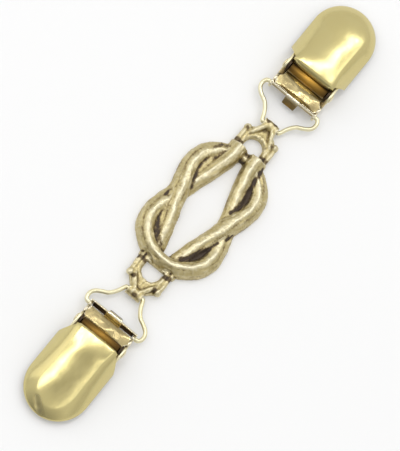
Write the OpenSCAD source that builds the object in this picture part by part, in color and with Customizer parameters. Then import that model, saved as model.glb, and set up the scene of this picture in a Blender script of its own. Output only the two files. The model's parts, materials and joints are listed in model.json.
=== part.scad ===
// Sweater clip: a reef knot casting between two hinged clips, lying on its back.
// X runs along the clip, Y across it and Z up, from the middle of the underside.

/* [Knot casting] */
// Distance from the middle of the knot to the cut ends of its strands
strand_end_x = 22.3; // [21.9:0.1:22.8]
// Width of the knot's strands against the drawn one
strand_scale = 1; // [0.95:0.01:1.04]
// Thickness of the closed web in the grooves between strands
web_t = 1.5; // [1:0.1:2]

/* [End loops] */
// Half width of the D-shaped hole
loop_hole_r = 2.9; // [2.6:0.1:3.1]
// Half width over the two legs of the D
loop_half_w = 5.9; // [5.7:0.1:6]
// Distance from the middle of the knot to the hinge tube's axis
tube_x = 32.7; // [32.4:0.1:33]
// Height of the hinge tube's axis above the table
tube_z = 2; // [1.9:0.05:2.1]
// Outer diameter of the hinge tube
tube_d = 3.3; // [3:0.1:3.6]
// Length of the hinge tube
tube_len = 5; // [4.8:0.1:5.2]

/* [Wire bail] */
// Diameter of the bail's wire
wire_d = 1.3; // [1.2:0.05:1.4]
// Running clearance between a pin and its hole, measured on the diameter
hinge_play = 0.12; // [0.08:0.02:0.18]
// Height of the bail's ends, in the lever's corners
eye_z = 2.5; // [2.45:0.05:2.7]

/* [Lever] */
// Distance from the middle of the knot to the holes in the lever's corners
eye_x = 43.6; // [43.5:0.05:43.8]
// Half width over the lever's corner plates
lever_half_w = 8.3; // [8.1:0.1:8.5]
// Thickness of the lever's sheet
lever_t = 0.7; // [0.6:0.05:0.8]
// Outer diameter of the rolled barrel on the clip's pin
barrel_d = 3.3; // [3:0.1:3.5]
// Width of the finger tab
tab_w = 4.6; // [4:0.1:5.2]

/* [Clip cover] */
// Width of the cover
cover_w = 20; // [19.6:0.1:20.4]
// Distance from the middle of the knot to the cover's rim
rim_x = 52.3; // [52:0.1:52.5]
// Distance from the middle of the knot to the cover's round end
end_x = 78.9; // [78.5:0.1:79.5]
// Height of the crest just behind the rim
rim_z = 8.8; // [8.4:0.1:9.2]
// Height of the crest's line where it would leave the round end
end_z = 4.7; // [4.4:0.1:5]
// Thickness of the cover's sheet
cover_t = 0.7; // [0.6:0.05:0.8]
// Width of the sloping shoulder round the crest
shoulder_w = 4.8; // [4.2:0.1:5.2]
// Depth of the turned-down lip at the rim
lip_depth = 1.8; // [1.5:0.1:2]

/* [Clip pin and jaw] */
// Distance from the middle of the knot to the clip's pin
pin_x = 50.2; // [50:0.1:50.4]
// Height of the clip's pin
pin_z = 5.1; // [5:0.1:5.3]
// Diameter of the clip's pin
pin_d = 1.6; // [1.4:0.1:1.8]
// Thickness of the jaw's sheet
jaw_t = 0.8; // [0.7:0.05:0.9]
// Number of teeth on the jaw
tooth_count = 6; // [4:1:8]

/* [Hidden] */
$fn = 48;
eps = 0.01;

// One leg of a bight, from the middle of its closed end to its cut end. Columns: x and y of
// the centre line, width, height of the bight that closes over the other, height of the one
// that closes under it. The closed end lies at minus X.
STRAND = [
    [-20.1, 0, 4.7, 4.1, 2.3],
    [-19.6, 3.1, 4.8, 4.1, 2.4],
    [-18.3, 6.1, 5.1, 4.1, 2.7],
    [-16.2, 8.6, 5.4, 4, 3],
    [-13.4, 10.4, 5.6, 3.8, 3.3],
    [-10.4, 11.1, 5.6, 3.6, 3.5],
    [-7.4, 10.85, 5.6, 3.3, 3.7],
    [-4.4, 10.05, 5.8, 2.9, 4],
    [-1.5, 9.15, 6, 2.5, 4.2],
    [1.5, 8.4, 6, 2.3, 4.2],
    [4.5, 7.5, 5.7, 2.4, 4],
    [7.5, 6.4, 5.4, 2.8, 3.7],
    [10.5, 5.4, 5.3, 3.3, 3.4],
    [13.5, 4.6, 5.3, 3.7, 3],
    [17, 3.8, 5.4, 4.1, 2.4],
    [19.8, 3.45, 5.5, 4.2, 2.2],
    [strand_end_x, 3.3, 5.5, 4.1, 2.2],
];

// Outline of a strand's section. Columns: side and height, as shares of half the width and
// of the height. The ridge stands a little off the middle.
SECTION = [
    [-1, 0],
    [-1, 0.3],
    [-0.88, 0.6],
    [-0.6, 0.84],
    [-0.12, 1],
    [0.1, 0.98],
    [0.58, 0.8],
    [0.88, 0.55],
    [1, 0.28],
    [1, 0],
];
strand_steps = 48;

// Centre line of one side of the bail, from the mouth of the hinge tube to the end's bend.
// Columns: x from the tube, y, and share of the rise from the tube to the lever's corner.
BAIL_BENDS = [
    [0.25, 3.25, 0],
    [1.6, 3.6, 0.1],
    [3.6, 4.7, 0.25],
    [5, 5.9, 0.4],
    [5.9, 7.5, 0.5],
    [7, 9.1, 0.65],
    [8.3, 9.9, 0.8],
    [9.7, 9.95, 0.95],
    [10.6, 9.55, 1],
];
// Where the wire turns in through the lever's corner, and where it ends
bail_turn_y = 9.05;
bail_end_y = 7.3;

wire_r = wire_d / 2;
hole_r = (wire_d + hinge_play) / 2;
arch_x = 24.6;
arch_z = 1.4;
arch_bead_r = 0.85;
leg_r = (loop_half_w - loop_hole_r) / 2;
leg_y = (loop_half_w + loop_hole_r) / 2;
leg_start_x = 21.6;
leg_end_x = 26.8;
knob_x = 28.4;
knob_z = 1.9;
knob_y = 5;
knob_r = 1.3;
plate_t = 1.5;
plate_start_x = 21.1;
hole_start_x = 23.1;
plate_side = 0.6;
neck_x = 31.4;
neck_half_w = 2.4;
stay_r = 0.8;

cover_low_rim = 2.6;
cover_low_end = 1.9;
corner_x = rim_x + 4.4;
corner_bend = 0.65;
rim_half_w = 7.3;
round_len = 10.6;
round_x = end_x - round_len;
crown = 0.8;
crease = 1.45;
ear_play = 0.04;
ear_in = 7.7;
ear_out = 8.4;
ear_r = 2.2;
// Web of the cover's ear, from round the pin back to the cover's side wall
COVER_EAR = [
    [pin_x, pin_z - ear_r],
    [58, 2.8],
    [60, 4.2],
    [56, 5],
    [53.4, 5.6],
    [pin_x + 0.7, pin_z + ear_r - 0.15],
];

// Lever's profile along the clip. Columns: x and z, from the lip over the trough to the barrel.
LEVER_TROUGH = [
    [42.9, 4.2],
    [43.25, 3.85],
    [43.8, 3.2],
    [44.5, 2.95],
    [46, 2.85],
    [47.3, 3],
    [48.2, 3.35],
    [48.8, 3.9],
    [49.3, 4.5],
];
LEVER_TAB = [
    [43.2, 4.05],
    [42.8, 4.1],
    [42.3, 3.5],
    [41.2, 1.7],
];
window_x = 43.52;
window_z = 3.52;
window_lean = 50;
window_deep = 1;
window_h = 1.5;
slot_in = 2.7;
slot_out = 7.4;
corner_plate_in = 7.5;
trough_wide_x = 47.4;
eye_r = 1.35;
// Web of the lever's corner plate, from under the eye to the trough
CORNER_PLATE = [
    [eye_x, eye_z - eye_r],
    [47, eye_z - eye_r + 0.3],
    [47.4, 3.1],
    [44, 3.3],
    [eye_x - 0.7, eye_z + 1],
];
barrel_half_len = 6.65;
jaw_ear_in = 6.85;
jaw_ear_out = 7.5;
jaw_ear_r = 1.9;
jaw_ear_end_x = 56.5;
jaw_half_w = 8.3;
jaw_end_x = 77.2;
jaw_nose_r = 9.2;
jaw_tail_x = 44.2;
tooth_pitch = 1.7;
tooth_z = 1.6;
tooth_h = 1;
tooth_x = 74.6;
head_t = 0.55;
head_d = 2.8;
head_top_d = 2;

brass = "#b5a265";
cast_brass = "#94804a";
dark_brass = "#6d5a2c";

// Where a smooth curve through the rows of a table stands, k rows from its start
function along(rows, k) =
    let (
        last = len(rows) - 1,
        i = min(floor(k), last - 1),
        t = k - i,
        a = rows[max(i - 1, 0)],
        b = rows[i],
        c = rows[i + 1],
        d = rows[min(i + 2, last)]
    )
    0.5 * (2 * b + (c - a) * t + (2 * a - 5 * b + 4 * c - d) * t * t + (3 * b - a - 3 * c + d) * t * t * t);

function unit(v) = v / norm(v);

// Direction of the curve there
function heading(rows, k) =
    let (last = len(rows) - 1)
    unit(along(rows, min(k + 0.05, last)) - along(rows, max(k - 0.05, 0)));

function mirrored_y(row) = [for (i = [0 : len(row) - 1]) i == 1 ? -row[i] : row[i]];

// A whole bight: one leg backwards on the far side, then the other
function bight(rows) = concat(
    [for (i = [len(rows) - 1 : -1 : 1]) mirrored_y(rows[i])],
    rows
);

// Faces of a tube of rings, capped at both ends
function tube_faces(rings, sides) = concat(
    [[for (j = [sides - 1 : -1 : 0]) j]],
    [for (i = [0 : rings - 2], j = [0 : sides - 1])
        let (
            a = i * sides + j,
            b = i * sides + (j + 1) % sides
        )
        each [[a, b, b + sides], [a, b + sides, a + sides]]],
    [[for (j = [0 : sides - 1]) (rings - 1) * sides + j]]
);

// One bight of the knot. Height is the table's column for it.
module strand(column) {
    rows = bight(STRAND);
    last = len(rows) - 1;
    ring = [for (i = [0 : strand_steps])
        let (
            k = i * last / strand_steps,
            p = along(rows, k),
            h = heading([for (r = rows) [r[0], r[1]]], k),
            side = [-h[1], h[0]]
        )
        for (s = SECTION)
            [
                p[0] + side[0] * s[0] * p[2] / 2 * strand_scale,
                p[1] + side[1] * s[0] * p[2] / 2 * strand_scale,
                s[1] * p[column],
            ]
    ];
    polyhedron(points = ring, faces = tube_faces(strand_steps + 1, len(SECTION)), convexity = 8);
}

// Closed web between the two bights, from their crossing to the closed end of one
module web() {
    crossing = 8.5;
    groove_end = 2.2;
    leg_end = 14.3;
    outer = [for (k = [crossing : -0.7 : groove_end]) along(STRAND, k)];
    inner = [for (k = [leg_end : -0.65 : crossing]) along(STRAND, k)];
    linear_extrude(web_t)
        polygon(concat(
            [for (p = outer) [p[0], p[1]]],
            [for (p = inner) [-p[0], p[1]]]
        ));
}

// Bar of round section between two points
module bar(a, b, r) {
    v = b - a;
    translate(a)
        rotate([0, acos(v[2] / norm(v)), atan2(v[1], v[0])])
            cylinder(r = r, h = norm(v));
}

// Shape of the loop's plate seen from above
module loop_outline() {
    difference() {
        polygon([
            [plate_start_x, plate_side - loop_half_w],
            [knob_x, plate_side - loop_half_w],
            [neck_x, -neck_half_w],
            [neck_x, neck_half_w],
            [knob_x, loop_half_w - plate_side],
            [plate_start_x, loop_half_w - plate_side],
        ]);
        translate([arch_x, 0])
            circle(r = loop_hole_r);
        translate([hole_start_x, -loop_hole_r])
            square([arch_x - hole_start_x, 2 * loop_hole_r]);
    }
}

// Pierced loop at one end of the casting, with its hinge tube
module end_loop() {
    difference() {
        union() {
            linear_extrude(plate_t)
                loop_outline();
            translate([arch_x, 0, arch_z])
                rotate(-90)
                    rotate_extrude(angle = 180)
                        translate([loop_hole_r + arch_bead_r, 0])
                            circle(r = arch_bead_r, $fn = 24);
            for (s = [0, 1])
                mirror([0, s, 0]) {
                    bar([leg_start_x, leg_y, leg_r], [leg_end_x, leg_y, leg_r], leg_r);
                    translate([knob_x, knob_y, knob_z])
                        sphere(r = knob_r);
                    bar([knob_x, knob_y - 0.2, knob_z], [neck_x - 0.4, neck_half_w - 0.2, tube_z], stay_r);
                }
            translate([tube_x, tube_len / 2, tube_z])
                rotate([90, 0, 0])
                    cylinder(d = tube_d, h = tube_len);
        }
        translate([tube_x, 10, tube_z])
            rotate([90, 0, 0])
                cylinder(r = hole_r, h = 20);
    }
}

module knot() {
    color(cast_brass) {
        strand(3);
        mirror([1, 0, 0])
            strand(4);
        for (x = [0, 1], y = [0, 1])
            mirror([x, 0, 0])
                mirror([0, y, 0])
                    web();
        end_loop();
        mirror([1, 0, 0])
            end_loop();
    }
}

// Wire of the bail from the tube's mouth to the lever's corner, on one side
module bail_side() {
    rows = [for (b = BAIL_BENDS) [tube_x + b[0], b[1], tube_z + b[2] * (eye_z - tube_z)]];
    path = concat(
        [[tube_x, 2.4, tube_z], [tube_x, 2.75, tube_z]],
        rows,
        [[eye_x, bail_turn_y, eye_z], [eye_x, bail_turn_y - 0.4, eye_z]]
    );
    last = len(path) - 1;
    steps = 3 * last;
    sides = 10;
    ring = [for (i = [0 : steps])
        let (
            k = i * last / steps,
            p = along(path, k),
            h = heading(path, k),
            across = unit(cross(h, [0, 0, 1])),
            up = cross(across, h)
        )
        for (j = [0 : sides - 1])
            p + (wire_r - 0.02) * (cos(360 * j / sides) * across + sin(360 * j / sides) * up)
    ];
    polyhedron(points = ring, faces = tube_faces(steps + 1, sides), convexity = 6);
}

module bail() {
    color(brass) {
        translate([tube_x, 2.7, tube_z])
            rotate([90, 0, 0])
                cylinder(d = wire_d, h = 5.4);
        for (s = [0, 1])
            mirror([0, s, 0]) {
                bail_side();
                along_y(bail_end_y, bail_turn_y - 0.25)
                    translate([eye_x, eye_z])
                        circle(d = wire_d);
            }
    }
}

// Sheet bent along a line of points, as a polygon
function bent(points, t) =
    let (
        last = len(points) - 1,
        side = [for (i = [0 : last])
            let (
                a = points[max(i - 1, 0)],
                b = points[min(i + 1, last)],
                h = unit(b - a)
            )
            [-h[1], h[0]] * t / 2]
    )
    concat(
        [for (i = [0 : last]) points[i] + side[i]],
        [for (i = [last : -1 : 0]) points[i] - side[i]]
    );

// Extrudes an outline drawn in X and Z along Y, from y0 to y1
module along_y(y0, y1) {
    translate([0, y1, 0])
        rotate([90, 0, 0])
            linear_extrude(y1 - y0)
                children();
}

module lever() {
    color(brass)
        difference() {
            union() {
                along_y(-barrel_half_len, barrel_half_len)
                    polygon(bent(LEVER_TROUGH, lever_t));
                intersection() {
                    along_y(-lever_half_w, lever_half_w)
                        polygon(bent(LEVER_TROUGH, lever_t));
                    translate([0, -lever_half_w, 0])
                        cube([trough_wide_x, 2 * lever_half_w, 10]);
                }
                along_y(-tab_w / 2, tab_w / 2)
                    polygon(bent(LEVER_TAB, lever_t));
                along_y(-barrel_half_len, barrel_half_len)
                    translate([pin_x, pin_z])
                        circle(d = barrel_d);
                for (s = [0, 1])
                    mirror([0, s, 0])
                        along_y(corner_plate_in, lever_half_w) {
                            translate([eye_x, eye_z])
                                circle(r = eye_r);
                            polygon(CORNER_PLATE);
                        }
            }
            along_y(-10, 10)
                translate([pin_x, pin_z])
                    circle(d = pin_d + hinge_play);
            for (s = [0, 1])
                mirror([0, s, 0]) {
                    along_y(bail_end_y - 0.15, 10)
                        translate([eye_x, eye_z])
                            circle(r = hole_r);
                    // Dark window beside the finger tab, through the upturned lip
                    translate([window_x, slot_in, window_z])
                        rotate([0, -window_lean, 0])
                            translate([-window_deep / 2, 0, -window_deep / 2])
                                cube([window_deep, slot_out - slot_in, window_h]);
                }
        }
}

function low_z(x) = cover_low_rim + (cover_low_end - cover_low_rim) * (x - rim_x) / (end_x - rim_x);
function crest_z(x) =
    let (t = (x - rim_x) / (end_x - rim_x))
    rim_z + (end_z - rim_z) * t + 0.5 * sin(180 * t);

// How far out a point of the cover lies: 0 on the crest's line, 1 on the outline
function rank(x, y, inset) =
    let (
        across = abs(y) / (cover_w / 2 - inset),
        round = max(x - round_x, 0) / (round_len - inset)
    )
    min(sqrt(across * across + round * round), 1);

// Height of the cover's sheet: outside with no inset, inside with the sheet's thickness
function cover_z(x, y, inset) =
    let (
        r = rank(x, y, inset),
        t = min((1 - r) * cover_w / 2 / shoulder_w, 1),
        rise = pow(1 - pow(1 - t, crease), 1 / crease)
    )
    low_z(x) + (crest_z(x) - inset - crown * r * r - low_z(x)) * rise;

// Half width of the cover's outline, with its corners cut towards the rim
function half_w(x, inset) =
    let (
        round = max(x - round_x, 0) / (round_len - inset),
        side = (cover_w / 2 - inset) * sqrt(max(1 - round * round, 0)),
        along_corner = min((x - rim_x) / (corner_x - rim_x), 1),
        corner = rim_half_w + (cover_w / 2 - rim_half_w) * pow(along_corner, corner_bend)
    )
    min(side, corner);

// Stations along the cover and across it
cover_stations = concat(
    [for (part = [0, 0.06, 0.25, 0.6, 1]) rim_x + part * (corner_x - rim_x)],
    [59, 62, 65.2],
    [for (a = [0 : 9 : 81]) round_x + round_len * sin(a)]
);
cover_columns = [-1, -0.985, -0.94, -0.87, -0.78, -0.67, -0.55, -0.45, -0.22, 0,
    0.22, 0.45, 0.55, 0.67, 0.78, 0.87, 0.94, 0.985, 1];

function cover_sheet(inset) = concat(
    [for (x = cover_stations, c = cover_columns)
        let (
            xi = x > round_x ? round_x + (x - round_x) * (round_len - inset) / round_len : x,
            y = c * half_w(xi, inset)
        )
        [xi, y, cover_z(xi, y, inset)]],
    [for (c = cover_columns)
        let (
            tip = end_x - inset,
            y = c * half_w(round_x + (round_len - inset) * sin(81), inset)
        )
        [tip, y * 0.99, low_z(tip)]]
);

// Dished sheet of the cover: its outside, its inside and the edge that joins them
module cover_shell() {
    n = len(cover_columns);
    rows = len(cover_stations) + 1;
    size = n * rows;
    function at(i, j) = i * n + j;
    outside = [for (i = [0 : rows - 2], j = [0 : n - 2])
        each [
            [at(i, j), at(i, j + 1), at(i + 1, j + 1)],
            [at(i, j), at(i + 1, j + 1), at(i + 1, j)],
        ]];
    edge = concat(
        [for (j = [0 : n - 1]) at(0, j)],
        [for (i = [1 : rows - 1]) at(i, n - 1)],
        [for (j = [n - 2 : -1 : 0]) at(rows - 1, j)],
        [for (i = [rows - 2 : -1 : 1]) at(i, 0)]
    );
    m = len(edge);
    polyhedron(
        points = concat(cover_sheet(0), cover_sheet(cover_t)),
        faces = concat(
            outside,
            [for (f = outside) [size + f[0], size + f[2], size + f[1]]],
            [for (k = [0 : m - 1])
                each [
                    [edge[k], size + edge[k], size + edge[(k + 1) % m]],
                    [edge[k], size + edge[(k + 1) % m], edge[(k + 1) % m]],
                ]]
        ),
        convexity = 6
    );
}

// Lip that turns down from the cover's rim
module cover_lip() {
    reach = rim_half_w - 0.1;
    steps = 12;
    side = [for (i = [0 : steps]) -reach + 2 * reach * i / steps];
    translate([rim_x + cover_t, 0, 0])
        rotate([0, -90, 0])
            linear_extrude(cover_t)
                polygon(concat(
                    [for (y = side) [cover_z(rim_x, y, 0) - cover_t / 2, y]],
                    [for (i = [steps : -1 : 0])
                        [cover_z(rim_x, side[i], 0) - lip_depth, side[i]]]
                ));
}

module cover_ear() {
    along_y(ear_in, ear_out)
        difference() {
            union() {
                translate([pin_x, pin_z])
                    circle(r = ear_r);
                polygon(COVER_EAR);
            }
            translate([pin_x, pin_z])
                circle(d = pin_d + ear_play);
        }
}

module cover() {
    color(brass) {
        cover_shell();
        cover_lip();
        cover_ear();
        mirror([0, 1, 0])
            cover_ear();
    }
}

module pin() {
    color(brass) {
        along_y(-ear_out - 0.1, ear_out + 0.1)
            translate([pin_x, pin_z])
                circle(d = pin_d);
        for (s = [0, 1])
            mirror([0, s, 0])
                translate([pin_x, ear_out + 0.02, pin_z])
                    rotate([-90, 0, 0])
                        cylinder(d1 = head_d, d2 = head_top_d, h = head_t);
    }
}

// Outline of the jaw's plate seen from above
module jaw_outline() {
    nose_x = jaw_end_x - jaw_nose_r;
    translate([jaw_tail_x, -jaw_half_w])
        square([nose_x - jaw_tail_x, 2 * jaw_half_w]);
    intersection() {
        translate([nose_x, 0])
            circle(r = jaw_nose_r);
        translate([nose_x, -jaw_half_w])
            square([jaw_nose_r, 2 * jaw_half_w]);
    }
}

module jaw() {
    color(dark_brass)
        difference() {
            union() {
                linear_extrude(jaw_t)
                    jaw_outline();
                for (s = [0, 1])
                    mirror([0, s, 0])
                        along_y(jaw_ear_in, jaw_ear_out) {
                            translate([pin_x, pin_z])
                                circle(r = jaw_ear_r);
                            polygon([
                                [pin_x - jaw_ear_r, pin_z],
                                [pin_x - 0.9, jaw_t / 2],
                                [jaw_ear_end_x, jaw_t / 2],
                                [pin_x + jaw_ear_r, pin_z],
                            ]);
                        }
                // Toothed strip that grips the cloth against the cover
                translate([tooth_x, 0, 0])
                    rotate([90, 0, 90])
                        linear_extrude(jaw_t)
                            for (i = [0 : tooth_count - 1])
                                let (y = (i - (tooth_count - 1) / 2) * tooth_pitch)
                                polygon([
                                    [y - tooth_pitch / 2 - eps, jaw_t / 2],
                                    [y + tooth_pitch / 2 + eps, jaw_t / 2],
                                    [y + tooth_pitch / 2 + eps, tooth_z],
                                    [y, tooth_z + tooth_h],
                                    [y - tooth_pitch / 2 - eps, tooth_z],
                                ]);
            }
            along_y(-10, 10)
                translate([pin_x, pin_z])
                    circle(d = pin_d + hinge_play);
        }
}

// The other end of the clip is the same, turned to face the other way
module left() {
    mirror([1, 0, 0])
        children();
}

knot();
bail();  // right_bail
lever();  // right_lever
cover();  // right_cover
pin();  // right_pin
jaw();  // right_jaw
left() bail();  // left_bail
left() lever();  // left_lever
left() cover();  // left_cover
left() pin();  // left_pin
left() jaw();  // left_jaw
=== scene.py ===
"""Sweater clip: an antique brass knot between two pale brass garment clips, lying on a table."""

import json
import math

import bmesh
import bpy
import numpy as np
from bpy.props import FloatProperty, FloatVectorProperty, PointerProperty
from mathutils import Matrix, Vector, noise
from mathutils.bvhtree import BVHTree
from mathutils.kdtree import KDTree


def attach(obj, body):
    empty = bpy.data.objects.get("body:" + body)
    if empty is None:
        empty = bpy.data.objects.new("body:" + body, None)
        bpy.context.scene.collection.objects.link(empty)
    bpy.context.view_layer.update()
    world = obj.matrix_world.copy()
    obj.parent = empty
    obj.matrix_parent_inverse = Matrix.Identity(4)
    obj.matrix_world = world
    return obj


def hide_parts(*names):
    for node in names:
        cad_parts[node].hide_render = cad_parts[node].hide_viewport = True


bl_info = {
    "name": "Sweater Clip",
    "version": (1, 0, 0),
    "blender": (4, 5, 0),
    "location": "View3D > Sidebar > Sweater Clip",
    "description": "Models and finishes a knot casting hinged to two garment clips",
    "category": "Object",
}

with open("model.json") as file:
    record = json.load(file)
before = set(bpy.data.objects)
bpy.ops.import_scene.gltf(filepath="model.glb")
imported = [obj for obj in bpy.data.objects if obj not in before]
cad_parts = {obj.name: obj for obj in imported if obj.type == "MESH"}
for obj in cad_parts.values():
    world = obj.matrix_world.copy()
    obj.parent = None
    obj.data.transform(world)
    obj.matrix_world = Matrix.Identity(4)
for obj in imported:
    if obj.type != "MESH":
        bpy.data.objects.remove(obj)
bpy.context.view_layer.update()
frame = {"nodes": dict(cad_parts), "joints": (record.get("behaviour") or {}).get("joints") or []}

# Pieces are drawn in millimetres and scaled to metres at the end
MM = 0.001
SIDES = (("right", 1), ("left", -1))
# Width and height of the photograph, in pixels
PHOTO_W, PHOTO_H = 400, 451
WHITE = (1.0, 1.0, 1.0, 1.0)


def joint_point(name):
    """Place of a joint's axis, in millimetres."""
    for joint in frame["joints"]:
        if joint["name"] == name:
            return Vector(joint["pos_m"]) / MM
    raise ValueError("the frame has no joint named " + name)


TUBE = joint_point("right_bail_swing")
EYE = joint_point("right_lever_swing")
PIN = joint_point("right_clip_open")


class KnotSizes(bpy.types.PropertyGroup):
    """Sizes of the casting."""

    voxel: FloatProperty(
        name="Voxel", description="Grain at which the casting's parts are fused, in mm",
        default=0.2, min=0.1,
    )
    lump: FloatProperty(
        name="Lumps", description="Height of the casting's hand-cut lumps, in mm", default=0.17
    )
    tube_d: FloatProperty(name="Tube", description="Outer diameter of the hinge tube, in mm", default=3.2)
    tube_len: FloatProperty(name="Tube length", description="Length of the hinge tube, in mm", default=4.9)
    bore: FloatProperty(name="Bore", description="Diameter of the hinge tube's bore, in mm", default=1.8)


class ClipSizes(bpy.types.PropertyGroup):
    """Sizes of the pressed clip."""

    cover_w: FloatProperty(name="Cover width", description="Width of the cover, in mm", default=20)
    rim_x: FloatProperty(name="Rim", description="Distance to the cover's rim, in mm", default=52.3)
    end_x: FloatProperty(
        name="Round end", description="Distance to the cover's round end, in mm", default=78.9
    )
    rim_z: FloatProperty(
        name="Rim height", description="Height of the crest at the rim, in mm", default=8.8
    )
    end_z: FloatProperty(
        name="End height", description="Height of the crest's line at the end, in mm", default=4.7
    )
    shoulder_w: FloatProperty(
        name="Shoulder", description="Width of the sloping shoulder, in mm", default=4.1
    )
    crown: FloatProperty(
        name="Crown", description="Fall of the crest towards its shoulders, in mm", default=1.8
    )
    sheet_t: FloatProperty(name="Sheet", description="Thickness of the pressed sheet, in mm", default=0.65)
    wire_d: FloatProperty(name="Wire", description="Diameter of the bail's wire, in mm", default=1.3)
    tab_w: FloatProperty(name="Tab", description="Width of the lever's finger tab, in mm", default=4.6)


class Finishes(bpy.types.PropertyGroup):
    """Colours of the metals and of their tarnish, and of the shade and warm reflection painted on them."""

    cast: FloatVectorProperty(
        name="Cast brass", description="Colour of the casting",
        default=(0.57, 0.485, 0.26), subtype="COLOR", size=3,
    )
    flank: FloatVectorProperty(
        name="Olive patches", description="Colour of the casting's duller patches",
        default=(0.45, 0.365, 0.155), subtype="COLOR", size=3,
    )
    ridge: FloatVectorProperty(
        name="Rubbed ridges", description="Colour where the casting is rubbed bright",
        default=(0.8, 0.735, 0.52), subtype="COLOR", size=3,
    )
    film: FloatVectorProperty(
        name="Brown film", description="Colour of the thin patina beside the grooves",
        default=(0.235, 0.175, 0.085), subtype="COLOR", size=3,
    )
    # Patina, also used as the black of the shade painted behind the levers' windows, on the jaws' ears and
    # in the knot's shaded grooves
    patina_and_shade: FloatVectorProperty(
        name="Patina", description="Colour of the casting's grooves",
        default=(0.068, 0.048, 0.033), subtype="COLOR", size=3,
    )
    plate: FloatVectorProperty(
        name="Brass plate", description="Colour of the covers",
        default=(0.65, 0.565, 0.265), subtype="COLOR", size=3,
    )
    wire: FloatVectorProperty(
        name="Brass wire", description="Colour of the bright wires",
        default=(0.87, 0.825, 0.6), subtype="COLOR", size=3,
    )
    warm: FloatVectorProperty(
        name="Warm plate", description="Colour of the warmer clouds in the plate",
        default=(0.62, 0.52, 0.22), subtype="COLOR", size=3,
    )
    speck: FloatVectorProperty(
        name="Plate specks", description="Colour of the fine specks in the plate",
        default=(0.5, 0.42, 0.22), subtype="COLOR", size=3,
    )
    # Dull film in the plate's hollows, also used for the shade painted on the covers' rolled lips and in the
    # left cover's fold
    film_and_shade: FloatVectorProperty(
        name="Dull film and painted shade", description="Colour of the film in the plate's hollows and of the shade painted on it",
        default=(0.15, 0.128, 0.07), subtype="COLOR", size=3,
    )
    lever: FloatVectorProperty(
        name="Lever brass", description="Colour of the levers and pins",
        default=(0.65, 0.535, 0.27), subtype="COLOR", size=3,
    )
    # Lever tarnish, also used for the shade painted beside the barrels and under the tabs' bends
    tarnish_and_shade: FloatVectorProperty(
        name="Tarnish", description="Colour of the lever's tarnish",
        default=(0.085, 0.048, 0.014), subtype="COLOR", size=3,
    )
    rubbed: FloatVectorProperty(
        name="Rubbed edges", description="Colour of the lever's bright edges",
        default=(0.86, 0.8, 0.62), subtype="COLOR", size=3,
    )
    # A warm reflection painted on the barrels, where they lie in the shade of the cover's rim, and faintly
    # on the tabs' ends
    amber_reflection: FloatVectorProperty(
        name="Painted amber reflection", description="Colour of the warm reflection painted on the barrels",
        default=(0.54, 0.3, 0.055), subtype="COLOR", size=3,
    )
    jaw: FloatVectorProperty(
        name="Jaw brass", description="Colour of the dull jaws",
        default=(0.3, 0.22, 0.11), subtype="COLOR", size=3,
    )
    jaw_patch: FloatVectorProperty(
        name="Jaw patches", description="Colour of the jaws' lighter patches",
        default=(0.42, 0.32, 0.16), subtype="COLOR", size=3,
    )
    jaw_edge: FloatVectorProperty(
        name="Jaw edges", description="Colour of the jaws' rubbed edges",
        default=(0.66, 0.54, 0.3), subtype="COLOR", size=3,
    )


class StageSizes(bpy.types.PropertyGroup):
    """Camera of the photograph, and the light."""

    elevation: FloatProperty(
        name="Elevation", description="Angle of the camera above the table",
        default=math.radians(70), subtype="ANGLE",
    )
    roll: FloatProperty(
        name="Roll", description="Turn of the picture about the view",
        default=math.radians(39.2), subtype="ANGLE",
    )
    distance: FloatProperty(
        name="Distance", description="Distance of the camera", default=1.25, unit="LENGTH"
    )
    scale: FloatProperty(
        name="Scale", description="Pixels of the photograph for each millimetre", default=3.48
    )
    origin_x: FloatProperty(
        name="Across", description="Pixel across the photograph that the origin falls on", default=201.6
    )
    origin_y: FloatProperty(
        name="Down", description="Pixel down the photograph that the origin falls on", default=211.2
    )
    key: FloatProperty(
        name="Key light", description="Power of the large light above left", default=2.4, unit="POWER"
    )
    strip: FloatProperty(
        name="Strip light", description="Power of the strip over the clip", default=2.4, unit="POWER"
    )
    fill: FloatProperty(
        name="Fill light", description="Power of the wider strip at the lower right",
        default=0.85, unit="POWER",
    )
    room: FloatProperty(name="Room", description="Brightness of the white room", default=0.97)


# One leg of a bight, from the middle of its closed end at minus X to its cut end. Columns: x
# and y of the centre line, width, height where it lies over the other bight, and under it.
STRAND = (
    (-20.1, 0, 4.7, 4.1, 2.3), (-19.6, 3.1, 4.8, 4.1, 2.4), (-18.3, 6.1, 5.1, 4.1, 2.7),
    (-16.2, 8.6, 5.4, 4, 3), (-13.4, 10.4, 5.6, 3.8, 3.3), (-10.4, 11.1, 5.6, 3.6, 3.5),
    (-7.4, 10.85, 5.6, 3.3, 3.7), (-4.4, 10.05, 5.8, 2.9, 4), (-1.5, 9.15, 6, 2.5, 4.2),
    (1.5, 8.4, 6, 2.3, 4.2), (4.5, 7.5, 5.7, 2.4, 4), (7.5, 6.4, 5.4, 2.8, 3.7),
    (10.5, 5.4, 5.3, 3.3, 3.4), (13.5, 4.6, 5.3, 3.7, 3), (17, 3.8, 5.5, 4.1, 2.4),
    (19.8, 3.5, 5.8, 4.2, 2.2), (22.5, 3.4, 6.0, 4.1, 2.2),
)
# Column of the heights and side that each bight closes on: over at minus X, under at plus X
BIGHTS = ((3, 1), (4, -1))
# Outline of a strand: side and height, as shares of half its width and of its height
SECTION = (
    (-1, 0), (-1, 0.2), (-0.97, 0.4), (-0.88, 0.6), (-0.7, 0.79), (-0.42, 0.92), (-0.14, 1.0),
    (0.02, 0.99), (0.3, 0.87), (0.6, 0.74), (0.84, 0.58), (0.96, 0.4), (1, 0.2), (1, 0),
)
# The strands end under the loops here, where their flow stops
STRAND_END = 22.7
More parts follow.
